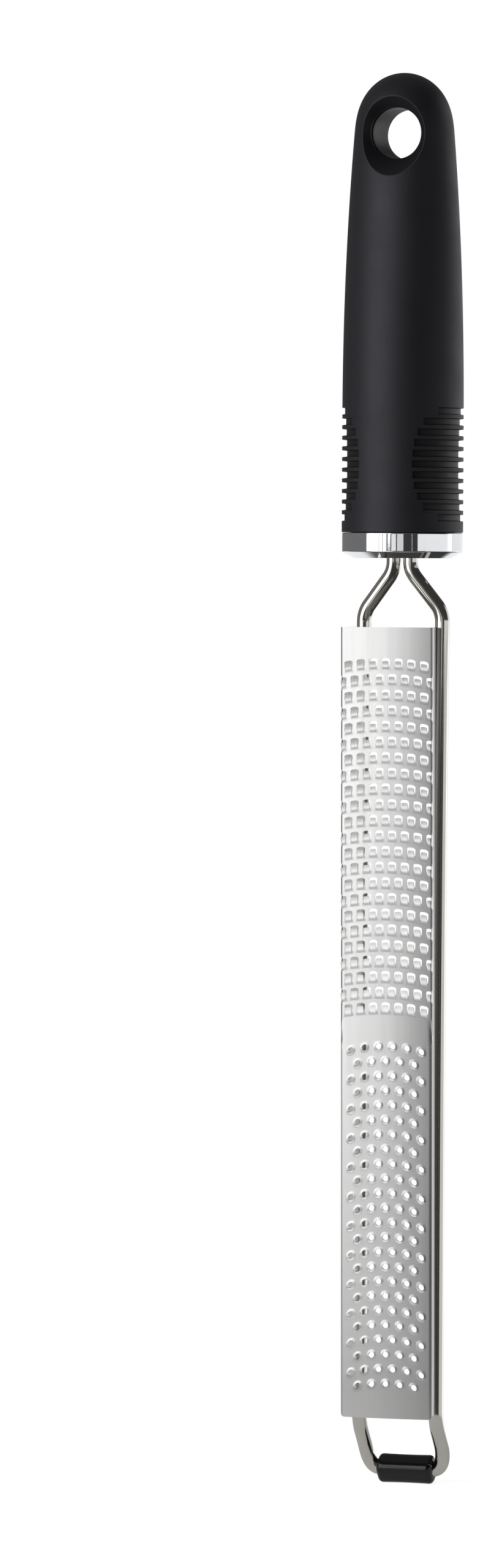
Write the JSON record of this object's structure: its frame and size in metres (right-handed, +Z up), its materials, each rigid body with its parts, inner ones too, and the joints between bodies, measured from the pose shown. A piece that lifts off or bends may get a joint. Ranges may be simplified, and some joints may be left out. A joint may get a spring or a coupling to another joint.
{
  "type": "rasp grater",
  "caption": "Long hand rasp: black handle with a hanging hole, bent steel rod frame, perforated channel blade with fine rasp teeth and punched holes, and a rubber foot.",
  "frame": {"origin": "centre of the hanging hole in the handle", "axes": "+Z up along the handle, away from the blade; -Y towards the user who looks at the blade's cutting face; +X to the right"},
  "size_m": [0.0332, 0.0332, 0.3856],
  "materials": {
    "soft_grip": "soft matte",
    "core_plastic": "satin",
    "collar_chrome": "polished",
    "rod_steel": "polished",
    "blade_steel": "satin",
    "foot_rubber": "glossy"
  },
  "bodies": {
    "root": {"grip": "soft_grip", "handle_core": "core_plastic", "collar": "collar_chrome", "frame_rod": "rod_steel", "blade": "blade_steel", "foot": "foot_rubber"}
  },
  "joints": []
}
